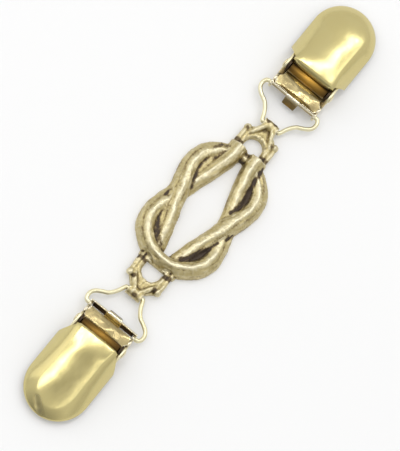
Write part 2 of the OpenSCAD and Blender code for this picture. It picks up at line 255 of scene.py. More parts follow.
# Round bars of one half of a loop: start, end and radius
LOOP_BARS = (
    ((21.4, 3.75, 1.6), (27.0, 3.95, 1.7), 0.72),
    ((21.4, 5.1, 1.6), (28.4, 5.2, 1.8), 0.8),
    ((27.0, 4.0, 1.8), (32.3, 0.9, 2.9), 0.75),
)
# Middle and radius of the loop's round hole, and radius and half thickness of the arch around it
HOLE_X, HOLE_R, ARCH_R, ARCH_HALF = 24.6, 2.9, 3.75, 0.85
# Outer edge of half of the loop's ground, the neck that carries the tube, and one of two balls
LOOP_EDGE = ((23, 5.3), (28.4, 5.3), (31.4, 2.4), (31.4, 0))
NECK = ((27.6, 2.6), (31.6, 0.9), (31.6, -0.9), (27.6, -2.6))
BALL, BALL_R = (28.4, 5.0, 1.75), 1.2
# Heights of the closed ground: at minus Y, at plus Y, in the loops and in their necks
WEB_MINUS, WEB_PLUS, LOOP_GROUND, NECK_GROUND = 1.8, 2.3, 1.5, 2.1
# Centre line of one side of the bail: x from the tube, y, share of the rise to the lever
BAIL = (
    (0, 2.2, 0), (0, 2.6, 0), (0.2, 3.05, 0), (0.8, 3.4, 0.05), (2.2, 3.95, 0.15), (3.6, 4.75, 0.25),
    (5, 5.9, 0.4), (5.9, 7.5, 0.5), (7, 9.1, 0.65), (8.3, 9.9, 0.8), (9.7, 9.95, 0.95), (10.6, 9.5, 1),
    (10.9, 8.9, 1), (10.9, 8.3, 1), (10.9, 7.4, 1),
)
# Lever's sheet along the clip, from its upturned lip over the trough to the barrel: x, z
TROUGH = (
    (43.05, 4.8), (43.22, 4.4), (43.52, 3.7), (43.86, 3.0), (44.45, 2.72), (45.6, 2.66), (46.9, 2.72),
    (47.9, 2.9), (48.5, 3.25), (48.88, 3.9), (49.0, 4.5), (49.03, 5.2),
)
# Finger tab, from the lip down: x, z
TAB = ((43.2, 4.62), (42.85, 4.7), (42.45, 4.25), (41.95, 3.0), (41.3, 1.75))
# Black sheet of painted shade inside the lip, behind its windows: x, z
SHADE_SHEET = ((42.95, 4.6), (43.04, 4.32), (43.33, 3.62), (43.66, 2.92), (43.84, 2.74))
# Web that joins a corner plate to its collar: x, z
CORNER_WEB = ((44.42, 1.4), (47, 1.45), (47.4, 3.1), (44.42, 3.4))
# Half widths of the cover's rim, of the lever and its narrower end, of the barrel and of the sheet of
# painted shade
RIM_HALF, LEVER_HALF, LEVER_END_HALF, BARREL_HALF, SHADE_SHEET_HALF = 7.3, 8.3, 6.6, 6.6, 7.25
# Inner and outer face of the cover's ears and of the lever's corner plates
EAR_Y = (7.7, 8.4)
CORNER_Y = (7.5, 8.3)
# Radius of an ear's nose round the pin, and the web from it up to the sheet: x, z
EAR_R = 2.2
EAR_WEB = ((58, 2.9), (60, 4.3), (56, 5.2), (53.6, 6.2), (52.4, 7.0))
# Along the lever: where it starts to narrow and over what length, where its lip ends and the
# floor of its trough starts and ends, and over what length the floor eases in
NARROW_X, NARROW_LEN, LIP_X, FLOOR_END_X, FLOOR_EASE = 46.4, 1.6, 43.9, 48.8, 1.4
# Depth of the trough's dish, the half width that it spans, and the height of its lumps
DISH, DISH_HALF, TROUGH_LUMP = 0.75, 7.6, 0.22
# Most that the lip bows out, and the length over which it starts to
BOW, BOW_LEN = 0.15, 0.9
# Windows of the lip: z, y and how far along they reach
WINDOW_Z, WINDOW_Y, WINDOW_X = (2.9, 4.42), (2.7, 7.2), 44.2
# Room round the wire's end: from this far out, and this wide about the eye
ROOM_Y, ROOM_R = 7.25, 1.1
# Outer radius and hole of the barrel, and of the corner plates' collars
BARREL_R, BARREL_HOLE = 1.62, 0.87
COLLAR_R, COLLAR_HOLE = 1.35, 0.74
# Length of the cover's round end, height of its lower edge at the rim and at the end, and its grid
ROUND_LEN = 10.6
LOW_RIM, LOW_END = 2.6, 1.9
COVER_ALONG, COVER_ACROSS = 56, 44
# The crest's line starts a little above the rim and bows up; near the rim it rolls down
CREST_LIFT, CREST_BOW, RIM_ROLL, RIM_DROP = 0.3, 0.35, 5, 0.55
# Steps by which the cover's rim rolls under into its lip: x, z
LIP_ROLL = ((-0.3, -0.14), (-0.31, -0.25), (-0.27, -0.33), (-0.2, -0.36), (-0.13, -0.36), (-0.06, -0.3))
# Sharp fold pressed into the round end of the left cover: x, y, then the shade painted in it: x, y, z
FOLD = ((75.7, 2.9), (77.2, 1.0), (78.4, -1.0))
FOLD_SHADE = ((75.9, 2.7, 4.6), (76.5, 1.9, 4.3), (77.1, 1.1, 3.8), (77.6, 0.3, 3.3), (78.1, -0.5, 2.8))
# Profile of a rivet from one head to the other, turned round its axis: radius, y
RIVET = (
    (0, -9), (0.55, -8.97), (1.0, -8.85), (1.32, -8.62), (1.38, -8.45), (0.8, -8.42), (0.8, 0),
    (0.8, 8.42), (1.38, 8.45), (1.32, 8.62), (1.0, 8.85), (0.55, 8.97), (0, 9),
)
# Rays tried from each point to see how sheltered it is: lean from the normal and turn about it
LEANS = [(0.0, 0)]
LEANS += [(0.7, k * math.tau / 5) for k in range(5)]
LEANS += [(1.15, k * math.tau / 6 + 0.4) for k in range(6)]


def clamp(value, low=0, high=1):
    """The value, kept between two limits."""
    return min(max(value, low), high)


def along(rows, k):
    """A point of the smooth curve through rows, k rows from its start."""
    last = len(rows) - 1
    i = min(int(k), last - 1)
    t = k - i
    a, b, c, d = (np.array(rows[j], float) for j in (max(i - 1, 0), i, i + 1, min(i + 2, last)))
    return 0.5 * (2 * b + (c - a) * t + (2 * a - 5 * b + 4 * c - d) * t**2 + (3 * b - a - 3 * c + d) * t**3)


def smooth_line(rows, steps):
    """Rows of the smooth curve at evenly spread steps."""
    last = len(rows) - 1
    return [along(rows, last * i / steps) for i in range(steps + 1)]


def both_sides(y0, y1):
    """The span from y0 to y1, and the same span mirrored."""
    return (y0, y1), (-y1, -y0)


def points_of(made):
    """The points among what a bmesh operator made."""
    return [v for v in made if isinstance(v, bmesh.types.BMVert)]


def edges_between(verts):
    """Edges whose two ends are both among the given points."""
    kept = set(verts)
    # A dictionary keeps the edges in the order in which they are met
    met = dict.fromkeys(e for v in verts for e in v.link_edges)
    return [e for e in met if kept.issuperset(e.verts)]


def loft(bm, rings):
    """Extrudes a closed ring through the given rings of points and caps both ends."""
    ring = bmesh.ops.create_circle(bm, segments=len(rings[0]), radius=1, cap_ends=True)["verts"]
    for vert, place in zip(ring, rings[0]):
        vert.co = place
    for places in rings[1:]:
        fresh = set(points_of(bmesh.ops.extrude_edge_only(bm, edges=edges_between(ring))["geom"]))
        ring = [next(e.other_vert(v) for e in v.link_edges if e.other_vert(v) in fresh) for v in ring]
        for vert, place in zip(ring, places):
            vert.co = place
    bmesh.ops.holes_fill(bm, edges=edges_between(ring), sides=0)


def round_rings(path, radius, sides):
    """Rings of a round wire along a path."""
    rings = []
    last = len(path) - 1
    turns = [2 * math.pi * j / sides for j in range(sides)]
    for i, place in enumerate(path):
        heading = (Vector(path[min(i + 1, last)]) - Vector(path[max(i - 1, 0)])).normalized()
        across = heading.cross(Vector((0, 0, 1))).normalized()
        rise = across.cross(heading)
        rings.append([Vector(place) + radius * (math.cos(t) * across + math.sin(t) * rise) for t in turns])
    return rings


def bar(bm, a, b, radius):
    """A round bar from a to b with rounded ends."""
    a, b = Vector(a), Vector(b)
    # Share of the way along, and swelling there
    swells = ((0.0, 0.8), (0.03, 0.93), (0.1, 1.0), (0.5, 1.0), (0.9, 1.0), (0.97, 0.93), (1.0, 0.8))
    path = [a.lerp(b, share) for share, swell in swells]
    rings = round_rings(path, radius, 20)
    for centre, (share, swell), ring in zip(path, swells, rings):
        for place in ring:
            place.xyz = centre + (place - centre) * swell
    loft(bm, rings)


def slab(bm, outline, way):
    """A flat plate: an outline of points extruded by way. Returns all its points."""
    verts = [bm.verts.new(place) for place in outline]
    moved = points_of(bmesh.ops.extrude_face_region(bm, geom=[bm.faces.new(verts)])["geom"])
    bmesh.ops.translate(bm, verts=moved, vec=way)
    return verts + moved


def plate(bm, outline, height):
    """A plate lying on the table with the given outline."""
    slab(bm, [(x, y, 0) for x, y in outline], (0, 0, height))
    bmesh.ops.recalc_face_normals(bm, faces=list(bm.faces))


def side_plate(bm, outline, span):
    """A plate standing along the clip, drawn in X and Z, with rounded edges."""
    y0, y1 = span
    corners = set(slab(bm, [(x, y0, z) for x, z in outline], (0, y1 - y0, 0)))
    edges = [e for e in bm.edges if corners.issuperset(e.verts)]
    rim = [e for e in edges if abs(e.verts[0].co.y - e.verts[1].co.y) < 1e-6]
    bmesh.ops.bevel(
        bm, geom=rim, offset=0.12, offset_type="OFFSET", segments=2, profile=0.5, affect="EDGES", material=-1
    )


def turn_round(bm, verts, centre, steps):
    """Turns a profile right round an axis along Y."""
    geom = list(verts) + edges_between(verts)
    bmesh.ops.spin(
        bm, geom=geom, cent=centre, axis=(0, 1, 0), angle=math.tau, steps=steps, use_merge=True,
        use_duplicate=False,
    )


def turned_ring(bm, centre, profile, steps):
    """A ring turned about an axis along Y from a closed profile of radius and y."""
    verts = bmesh.ops.create_circle(bm, segments=len(profile), radius=1)["verts"]
    for vert, (r, y) in zip(verts, profile):
        vert.co = (centre[0] + r, y, centre[2])
    turn_round(bm, verts, centre, steps)


def bend_grid(bm, rows, steps, across, place):
    """A grid bent along the smooth line through rows of x and z.

    The function place turns x, z, the share across, from -1 to 1, and the share along into a point.
    """
    line = smooth_line(rows, steps)
    for vert in bmesh.ops.create_grid(bm, x_segments=steps, y_segments=across, size=1)["verts"]:
        k = round((vert.co.x + 1) / 2 * steps)
        vert.co = place(*line[k], vert.co.y, k / steps)


def new_object(name, bm, side=1):
    """Makes an object of a mesh drawn in millimetres on the right-hand side."""
    bmesh.ops.scale(bm, vec=(side * MM, MM, MM), verts=bm.verts)
    bmesh.ops.recalc_face_normals(bm, faces=bm.faces)
    mesh = bpy.data.meshes.new(name)
    bm.to_mesh(mesh)
    bm.free()
    mesh.shade_smooth()
    obj = bpy.data.objects.new(name, mesh)
    bpy.context.scene.collection.objects.link(obj)
    return obj


def settle(obj):
    """Applies an object's modifiers to its mesh."""
    seen = obj.evaluated_get(bpy.context.evaluated_depsgraph_get())
    mesh = bpy.data.meshes.new_from_object(seen)
    obj.modifiers.clear()
    old = obj.data
    obj.data = mesh
    bpy.data.meshes.remove(old)
    mesh.name = obj.name
    mesh.shade_smooth()


def add_wall(obj, thickness, offset=0):
    """Gives a bent sheet its thickness: to both sides at offset 0, or inwards at -1."""
    wall = obj.modifiers.new("Sheet", "SOLIDIFY")
    wall.thickness = thickness * MM
    wall.offset = offset
    return wall


def soften(obj, width, segments, angle=50):
    """Rounds the edges that are sharper than an angle in degrees, and applies the modifiers."""
    edge = obj.modifiers.new("Edge", "BEVEL")
    edge.width = width * MM
    edge.segments = segments
    edge.limit_method = "ANGLE"
    edge.angle_limit = math.radians(angle)
    settle(obj)


def arrays(mesh):
    """A mesh's points, normals and edges as arrays, the points in millimetres."""
    places = np.empty(len(mesh.vertices) * 3, np.float32)
    mesh.vertices.foreach_get("co", places)
    normals = np.empty(len(mesh.vertices) * 3, np.float32)
    mesh.vertices.foreach_get("normal", normals)
    edges = np.empty(len(mesh.edges) * 2, np.int32)
    mesh.edges.foreach_get("vertices", edges)
    return places.reshape(-1, 3) / MM, normals.reshape(-1, 3), edges.reshape(-1, 2)


def spread(values, edges, rounds):
    """Averages values over each point's neighbours, several times."""
    count = np.bincount(edges.ravel(), minlength=len(values)).astype(np.float32)
    count = np.maximum(count, 1)
    for _ in range(rounds):
        total = np.zeros_like(values)
        np.add.at(total, edges[:, 0], values[edges[:, 1]])
        np.add.at(total, edges[:, 1], values[edges[:, 0]])
        share = total / (count[:, None] if values.ndim == 2 else count)
        values = 0.5 * values + 0.5 * share
    return values


def store(mesh, name, values):
    """Keeps one number for each point of a mesh."""
    layer = mesh.attributes.new(name, "FLOAT", "POINT")
    layer.data.foreach_set("value", np.asarray(values, np.float32))


def blacken(mesh, where=...):
    """Paints shade on the chosen points, as dark as a deep hollow; all of them if none are chosen."""
    for name, value in (("hollow", 1.0), ("ridge", 0.0)):
        layer = mesh.attributes.get(name) or mesh.attributes.new(name, "FLOAT", "POINT")
        kept = np.empty(len(mesh.vertices), np.float32)
        layer.data.foreach_get("value", kept)
        kept[where] = value
        layer.data.foreach_set("value", kept)


def weather(obj, reach=1.5, ridge_height=0.05, spots=(), calm=1.0):
    """Stores how sheltered and how exposed each point is: hollow, ridge and groove, 0 to 1.

    Reach is how far a neighbour shelters. Spots are dark patches, some of patina and some of painted shade,
    each a place, a radius and a strength.
    Calm is the weight of the shelter.
    """
    mesh = obj.data
    places, normals, edges = arrays(mesh)
    tree = BVHTree.FromPolygons([Vector(p) for p in places], [tuple(f.vertices) for f in mesh.polygons])
    sheltered = np.zeros(len(places), np.float32)
    for i, (place, normal) in enumerate(zip(places, normals)):
        n = Vector(normal)
        side = n.orthogonal().normalized()
        other = n.cross(side)
        # Rays start just off the surface, and what is near shelters more than what is far
        start = Vector(place) + n * 0.03
        for lean, turn in LEANS:
            way = n * math.cos(lean) + (side * math.cos(turn) + other * math.sin(turn)) * math.sin(lean)
            distance = tree.ray_cast(start, way, reach)[3]
            if distance is not None:
                sheltered[i] += 1 - 0.6 * distance / reach
    sheltered *= calm / len(LEANS)
    # Each spot, of patina or of painted shade, fades from its middle to its rim, which is broken up by noise
    rough_edge = np.array([noise.noise(Vector(p) * 0.9) for p in places], np.float32) if spots else 0
    for spot, radius, strength in spots:
        away = np.linalg.norm(places - np.array(spot), axis=1) * (1 + 0.4 * rough_edge)
        sheltered = np.maximum(sheltered, 0.7 * strength * (1 - np.clip(away / radius / 1.25, 0, 1)) ** 0.9)
    sheltered = spread(sheltered, edges, 4 if spots else 2)
    # What stands proud of its eased neighbourhood is a ridge, and what lies under it a groove
    rise = np.sum((places - spread(places, edges, 24)) * normals, axis=1)
    rise = spread(rise, edges, 1)
    store(mesh, "hollow", np.clip(sheltered * 1.6, 0, 1))
    store(mesh, "ridge", np.clip(rise / ridge_height, 0, 1))
    store(mesh, "groove", np.clip(-rise / ridge_height, 0, 1))


def dress(obj, body, material, nodes=()):
    """Gives a piece its material, its body and the nodes that it stands for."""
    obj.data.materials.clear()
    obj.data.materials.append(material)
    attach(obj, body)
    if nodes:
        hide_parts(*nodes)


def bight_line(flip):
    """Centre line of a bight; the one that closes at plus X is narrower where it runs under."""
    leg = list(STRAND)
    if flip < 0:
        leg[0] = (-20.6, 0, 3.7, *leg[0][3:])
        leg[1] = (-20.0, 3.1, 4.2, *leg[1][3:])
    rows = [(r[0], -r[1], *r[2:]) for r in leg[:0:-1]] + leg
    return smooth_line(rows, 132)


def bight_frames(flip):
    """For each step of a bight: its row, its side direction and how far it has run."""
    line = bight_line(flip)
    last = len(line) - 1
    run = 0.0
    for i, row in enumerate(line):
        ahead, behind = line[min(i + 1, last)], line[max(i - 1, 0)]
        heading = Vector((flip * (ahead[0] - behind[0]), ahead[1] - behind[1])).normalized()
        side = flip * Vector((-heading.y, heading.x))
        if i:
            run += math.hypot(row[0] - line[i - 1][0], row[1] - line[i - 1][1])
        yield row, side, run


def bight(bm, column, flip):
    """One bight of the knot: flip is 1 for the one that closes at minus X, -1 for the other."""
    rings = []
    for row, side, _ in bight_frames(flip):
        centre = Vector((flip * row[0], row[1]))
        places = [(centre + side * across * row[2] / 2, height * row[column]) for across, height in SECTION]
        rings.append([Vector((place.x, place.y, z)) for place, z in places])
    loft(bm, rings)


def follow_strands(places):
    """For each point: how far along its strand it lies, how far across, and its share across."""
    samples = []
    for column, flip in BIGHTS:
        for row, side, run in bight_frames(flip):
            centre = Vector((flip * row[0], row[1], 0.55 * row[column]))
            # The two strands' runs are kept 600 mm apart, so that their streaks differ
            samples.append((centre, side, run + 300 * flip, row[2] / 2))
    tree = KDTree(len(samples))
    for i, sample in enumerate(samples):
        tree.insert(sample[0], i)
    tree.balance()
    flow = np.zeros((len(places), 3), np.float32)
    for i, place in enumerate(places):
        centre, side, run, half = samples[tree.find(place)[1]]
        away = Vector(place[:2]) - centre.xy
        ahead = away.dot(Vector((side.y, -side.x)))
        across = away.dot(side)
        flow[i] = (run + ahead, across, across / half)
    return flow


def knot_web(bm, sx, sy):
    """The closed ground between the two bights in one quarter of the knot."""
    outer = [along(STRAND, k)[:2] for k in np.arange(8.5, 2.2, -0.7)]
    inner = [along(STRAND, k)[:2] for k in np.arange(14.3, 8.5, -0.65)]
    outline = [(sx * p[0], sy * p[1]) for p in outer] + [(-sx * p[0], sy * p[1]) for p in inner]
    plate(bm, outline, WEB_MINUS if sy < 0 else WEB_PLUS)


def knot_loop(bm, sx, sizes):
    """The pierced loop at one end of the casting, with its hinge tube."""
    turns = np.linspace(0, math.pi / 2, 12)
    hole = [(HOLE_X + HOLE_R * math.cos(t), HOLE_R * math.sin(t)) for t in turns]
    half = [*LOOP_EDGE, *hole, (LOOP_EDGE[0][0], HOLE_R)]
    for sy in (1, -1):
        plate(bm, [(sx * x, sy * y) for x, y in half], LOOP_GROUND)
        for (x0, y0, z0), (x1, y1, z1), radius in LOOP_BARS:
            bar(bm, (sx * x0, sy * y0, z0), (sx * x1, sy * y1, z1), radius)
        ball = bmesh.ops.create_uvsphere(bm, u_segments=20, v_segments=12, radius=BALL_R)["verts"]
        bmesh.ops.translate(bm, verts=ball, vec=(sx * BALL[0], sy * BALL[1], BALL[2]))
    plate(bm, [(sx * x, y) for x, y in NECK], NECK_GROUND)
    turns = np.linspace(-1.5, 1.5, 25)
    arch = [(sx * (HOLE_X + ARCH_R * math.cos(t)), ARCH_R * math.sin(t), 1.4) for t in turns]
    loft(bm, round_rings(arch, ARCH_HALF, 14))
    r0, r1, half_len = sizes.bore / 2, sizes.tube_d / 2, sizes.tube_len / 2
    profile = ((r0, -half_len), (r1, -half_len), (r1, half_len), (r0, half_len))
    turned_ring(bm, (sx * TUBE.x, 0, TUBE.z), profile, 32)


class SWEATERCLIP_OT_knot(bpy.types.Operator):
    """Fuses the knot's strands, webs and loops into one worn casting"""

    bl_idname = "sweaterclip.knot"
    bl_label = "Knot casting"
    # Stained grooves between the strands, as polylines: x, y, radius; the dark ones, on the minus-Y side
    # away from the key light, hold patina and painted shade
    patina_and_shade_grooves = (
        ((21.0, -6.1, 0.9), (18.0, -6.3, 1.05), (14.0, -7.0, 1.15), (10.0, -7.6, 1.2), (7.0, -7.5, 1.1),
         (4.2, -6.7, 0.8)),
        ((-0.6, -11.4, 0.6), (-3.4, -10.6, 0.8), (-6.4, -9.4, 1.0), (-9.6, -7.9, 1.25), (-12.4, -6.7, 1.2),
         (-14.6, -5.3, 1.0), (-16.2, -3.6, 0.8)),
    )
    brown_grooves = (
        ((21.6, 7.0, 0.7), (16.5, 8.5, 0.8), (11.4, 8.8, 0.85), (6.8, 8.2, 0.8), (4.0, 7.0, 0.9),
         (2.9, 6.3, 0.9)),
        ((-0.4, 12.2, 0.7), (-5.0, 10.5, 0.7), (-10.0, 8.7, 0.75), (-13.7, 6.3, 0.8), (-16.4, 2.9, 0.8)),
    )
    # Share of the radius, and strength, of each kind of groove
    groove_kinds = ((patina_and_shade_grooves, 0.86, 1.0), (brown_grooves, 1.15, 0.62))
    # Single stains on the loops: place, radius and strength
    loop_stains = (
        ((28.0, 5.2, 2.9), 1.0, 0.7), ((28.3, -3.9, 2.8), 1.0, 0.7), ((27.2, 3.4, 2.5), 0.8, 0.6),
        ((26.6, -2.9, 2.4), 0.8, 0.6), ((33.5, 1.5, 3.4), 0.9, 1.0), ((33.7, -0.7, 3.4), 0.9, 1.0),
        ((-28.8, 3.3, 2.5), 1.1, 1.0), ((-28.6, -3.9, 2.6), 1.1, 0.9), ((-30.0, -4.9, 1.8), 0.9, 0.7),
        ((-33.7, -0.3, 3.4), 1.2, 0.9), ((-31.2, 1.5, 2.6), 0.5, 0.6), ((-31.2, 0.5, 2.6), 0.5, 0.6),
        ((-31.2, -0.5, 2.6), 0.5, 0.6), ((-31.2, -1.5, 2.6), 0.5, 0.6),
    )

    def execute(self, context):
        sizes = context.scene.sweater_knot
        bm = bmesh.new()
        for column, flip in BIGHTS:
            bight(bm, column, flip)
        for sx in (1, -1):
            for sy in (1, -1):
                knot_web(bm, sx, sy)
            knot_loop(bm, sx, sizes)
        knot = new_object("knot_casting", bm)
        self.fuse(knot, sizes.voxel * MM)
        mesh = knot.data
        places, normals, edges = arrays(mesh)
        flow = follow_strands(places)
        heights = np.array([self.lump(Vector(p), Vector(f)) for p, f in zip(places, flow)], np.float32)
        places = places + normals * heights[:, None] * sizes.lump
        places[:, 2] = np.maximum(places[:, 2], 0)
        self.clear_bores(places)
        mesh.vertices.foreach_set("co", (places * MM).astype(np.float32).ravel())
        mesh.update()
        on_strand = (np.abs(flow[:, 2]) < 1.1) & (np.abs(places[:, 0]) < STRAND_END)
        on_strand = spread(on_strand.astype(np.float32), edges, 3)
        weather(knot, reach=3.2, ridge_height=0.14, spots=self.stains_and_shade(), calm=0.4 + 0.6 * on_strand)
        layer = mesh.attributes.new("flow", "FLOAT_VECTOR", "POINT")
        layer.data.foreach_set("vector", flow.ravel())
        store(mesh, "strand", on_strand)
        dress(knot, "knot", antique_brass(context.scene.sweater_finish), ["knot"])
        return {"FINISHED"}

    def fuse(self, knot, voxel):
        """Melts the parts into one skin and eases it."""
        melt = knot.modifiers.new("Fuse", "REMESH")
        melt.mode = "VOXEL"
        melt.voxel_size = voxel
        melt.adaptivity = 0
        settle(knot)
        ease = knot.modifiers.new("Ease", "SMOOTH")
        ease.factor = 0.5
        ease.iterations = 3
        settle(knot)

    def clear_bores(self, places):
        """Pushes the surface back from the wires that run through the hinge tubes."""
        clear, wire_half = 0.8, 3
        for sx in (1, -1):
            away = places[:, (0, 2)] - np.array((sx * TUBE.x, TUBE.z), np.float32)
            reach = np.maximum(np.hypot(away[:, 0], away[:, 1]), 0.01)
            inside = (reach < clear) & (np.abs(places[:, 1]) < wire_half)
            away[inside] *= (clear / reach[inside] - 1)[:, None]
            places[inside, 0] += away[inside, 0]
            places[inside, 2] += away[inside, 1]

    def lump(self, place, flow):
        """Height of the casting's unevenness at a place, as a share; none on its flat back."""
        if place.z < 0.3:
            return 0
        broad = noise.noise(place * 0.45)
        drawn = noise.noise(Vector((flow.x * 0.3, flow.y * 1.1, 4)))
        fine = noise.noise(place * 1.4 + Vector((7, 3, 1)))
        return broad + drawn + 0.45 * fine

    def stains_and_shade(self):
        """Places where patina has gathered, and where shade is painted, each with its radius and strength.
        """
        made = list(self.loop_stains)
        for grooves, share, strength in self.groove_kinds:
            for groove in grooves:
                made += [((x, y, 2.2), share * r, strength) for x, y, r in smooth_line(groove, 40)]
        # Patina and painted shade in the corners behind the strands' cut ends, under the loops
        for sx in (1, -1):
            for sy in (1, -1):
                made += [((sx * 23.3, sy * y, 2.1), 1.0, 1.0) for y in (2.7, 3.7, 4.7, 5.6)]
        return made


def cover_share(x, sizes):
    """How far along the cover a place lies: 0 at the rim, 1 at the round end."""
    return (x - sizes.rim_x) / (sizes.end_x - sizes.rim_x)


def cover_crest(x, sizes):
    """Height of the crest's line: a low bow that falls to the end and rolls over at the rim."""
    t = cover_share(x, sizes)
    roll = max(1 - (x - sizes.rim_x) / RIM_ROLL, 0)
    start = sizes.rim_z + CREST_LIFT
    line = start + (sizes.end_z - sizes.rim_z - CREST_LIFT) * t + CREST_BOW * math.sin(math.pi * t)
    return line - RIM_DROP * roll * roll


def cover_height(x, y, sizes):
    """Height of the cover's outside at a place."""
    half = sizes.cover_w / 2
    beyond = max(x - (sizes.end_x - ROUND_LEN), 0) / ROUND_LEN
    rank = min(math.hypot(y / half, beyond), 1)
    # The shoulder gets narrower and its crease sharper round the end
    shoulder = sizes.shoulder_w - 1.7 * beyond
    crease = 1.45 + 0.4 * beyond
    t = min((1 - rank) * half / shoulder, 1)
    rise = (1 - (1 - t) ** crease) ** (1 / crease)
    low = LOW_RIM + (LOW_END - LOW_RIM) * cover_share(x, sizes)
    # The crest is nearly flat across at the rim and domed from 6 mm on
    domed = clamp((x - sizes.rim_x) / 6)
    crown = sizes.crown * (0.15 + 0.85 * domed * domed * (3 - 2 * domed))
    return low + (cover_crest(x, sizes) - crown * rank * rank - low) * rise


def cover_half_width(x, sizes):
    """Half width of the straight part of the cover, cut in towards its rim."""
    share = clamp((x - sizes.rim_x - 0.5) / 3.2)
    return RIM_HALF + (sizes.cover_w / 2 - RIM_HALF) * share**0.85


def cover_place(across, up, sizes):
    """Where a point of the cover's flat grid goes: its straight part, then its round end."""
    straight = 0.58
    round_x = sizes.end_x - ROUND_LEN
    a = (across + 1) / 2
    b = math.copysign(1 - (1 - abs(up)) ** 1.5, up)
    if a < straight:
        x = sizes.rim_x + (round_x - sizes.rim_x) * (a / straight) ** 1.25
        return x, b * cover_half_width(x, sizes)
    c = 1 - (1 - (a - straight) / (1 - straight)) ** 1.35
    x = round_x + ROUND_LEN * c * math.sqrt(1 - b * b / 2)
    return x, b * math.sqrt(1 - c * c / 2) * sizes.cover_w / 2


def fold_distance(x, y, a, b):
    """Distance from a place to the line between two points."""
    way = Vector(b) - Vector(a)
    share = clamp((Vector((x, y)) - Vector(a)).dot(way) / way.length_squared)
    return (Vector((x, y)) - Vector(a) - way * share).length


def cover_dent(x, y, dings, folds):
    """Unevenness of a cover at a place: a light wave, its dings and its folds."""
    dent = 0.07 * noise.noise(Vector((x / 6.5, y / 4.5, 3.1)))
    for ding_x, ding_y, reach, depth in dings:
        away = math.hypot(x - ding_x, y - ding_y) / reach
        dent -= depth * max(1 - away * away, 0) ** 2
    for start, end in folds:
        dent -= 0.35 * max(1 - fold_distance(x, y, start, end) / 0.8, 0)
    return dent


def cover_sheet(bm, sizes, dings, folds):
    """The cover's outside as one sheet, with the lip that its rim is rolled into."""
    for vert in bmesh.ops.create_grid(bm, x_segments=COVER_ALONG, y_segments=COVER_ACROSS, size=1)["verts"]:
        x, y = cover_place(vert.co.x, vert.co.y, sizes)
        vert.co = (x, y, cover_height(x, y, sizes) + cover_dent(x, y, dings, folds))
    rim = [e for e in bm.edges if e.is_boundary and all(abs(v.co.x - sizes.rim_x) < 1e-4 for v in e.verts)]
    for dx, dz in LIP_ROLL:
        made = bmesh.ops.extrude_edge_only(bm, edges=rim)["geom"]
        moved = points_of(made)
        for vert in moved:
            share = min(abs(vert.co.y) / RIM_HALF, 1)
            bow = 1 - 0.15 * share**2 - 0.42 * share**6
            vert.co.x += dx * bow
            vert.co.z += dz * bow
        rim = [e for e in made if isinstance(e, bmesh.types.BMEdge)]
        rim = [e for e in rim if all(v in moved for v in e.verts)]


def cover_ear(bm, span):
    """The cover's ear that holds the pin: a round nose and a web up to the sheet."""
    turns = [math.radians(100 + 170 * i / 18) for i in range(19)]
    nose = [(PIN.x + EAR_R * math.cos(t), PIN.z + EAR_R * math.sin(t)) for t in turns]
    side_plate(bm, nose + list(EAR_WEB), span)


class SWEATERCLIP_OT_covers(bpy.types.Operator):
    """Presses the two domed covers with their rims and ears"""

    bl_idname = "sweaterclip.covers"
    bl_label = "Covers"
    # Dings of each cover: x, y, reach and depth
    dings = {"right": ((70.5, 6.0, 3.0, 0.12),), "left": ((61.5, -0.6, 4.8, 0.06),)}
    folds = {"right": (), "left": tuple(zip(FOLD, FOLD[1:]))}

    def execute(self, context):
        sizes = context.scene.sweater_clip
        colours = context.scene.sweater_finish
        for name, side in SIDES:
            bm = bmesh.new()
            cover_sheet(bm, sizes, self.dings[name], self.folds[name])
            shell = new_object(name + "_cover_shell", bm, side)
            add_wall(shell, sizes.sheet_t, -1).use_even_offset = True
            soften(shell, 0.12, 2)
            weather(shell, spots=self.stains_and_shade(name, side))
            dress(shell, name + "_cover", pale_plate(colours), [name + "_cover"])
            bm = bmesh.new()
            for span in both_sides(*EAR_Y):
                cover_ear(bm, span)
            ears = new_object(name + "_cover_ears", bm, side)
            weather(ears)
            dress(ears, name + "_cover", bright_wire(colours))
        return {"FINISHED"}

    def stains_and_shade(self, name, side):
        """The painted shade on the rolled lip's steep face, and the painted shade in the left cover's fold.
        """
        # Painted shade along the steep face of the rolled lip
        made = [((side * 51.1, y, 7.15), 1.0, 0.55) for y in np.linspace(-6.6, 6.6, 23)]
        # Painted shade in the left cover's fold
        if name == "left":
            made += [((side * x, y, z), 1.3, 1.0) for x, y, z in FOLD_SHADE]
        return made


class SWEATERCLIP_OT_bails(bpy.types.Operator):
    """Bends the wire bails that hinge the clips to the knot"""

    bl_idname = "sweaterclip.bails"
    bl_label = "Wire bails"

    def execute(self, context):
        # The wire is drawn a hair thin, to stay clear of its holes
        radius = context.scene.sweater_clip.wire_d / 2 - 0.01
        look = bright_wire(context.scene.sweater_finish)
        half = [(TUBE.x + x, y, TUBE.z + share * (EYE.z - TUBE.z)) for x, y, share in BAIL]
        rows = [(x, -y, z) for x, y, z in reversed(half)] + half
        path = [Vector(p) for p in smooth_line(rows, 150)]
        for name, side in SIDES:
            bm = bmesh.new()
            loft(bm, round_rings(path, radius, 16))
            wire = new_object(name + "_bail_wire", bm, side)
            weather(wire)
            dress(wire, name + "_bail", look, [name + "_bail"])
        return {"FINISHED"}


def lip_bow(x, y):
    """How far the lever's lip bows out towards the knot."""
    return BOW * (1 - (y / LEVER_HALF) ** 2) * clamp((LIP_X - x) / BOW_LEN)


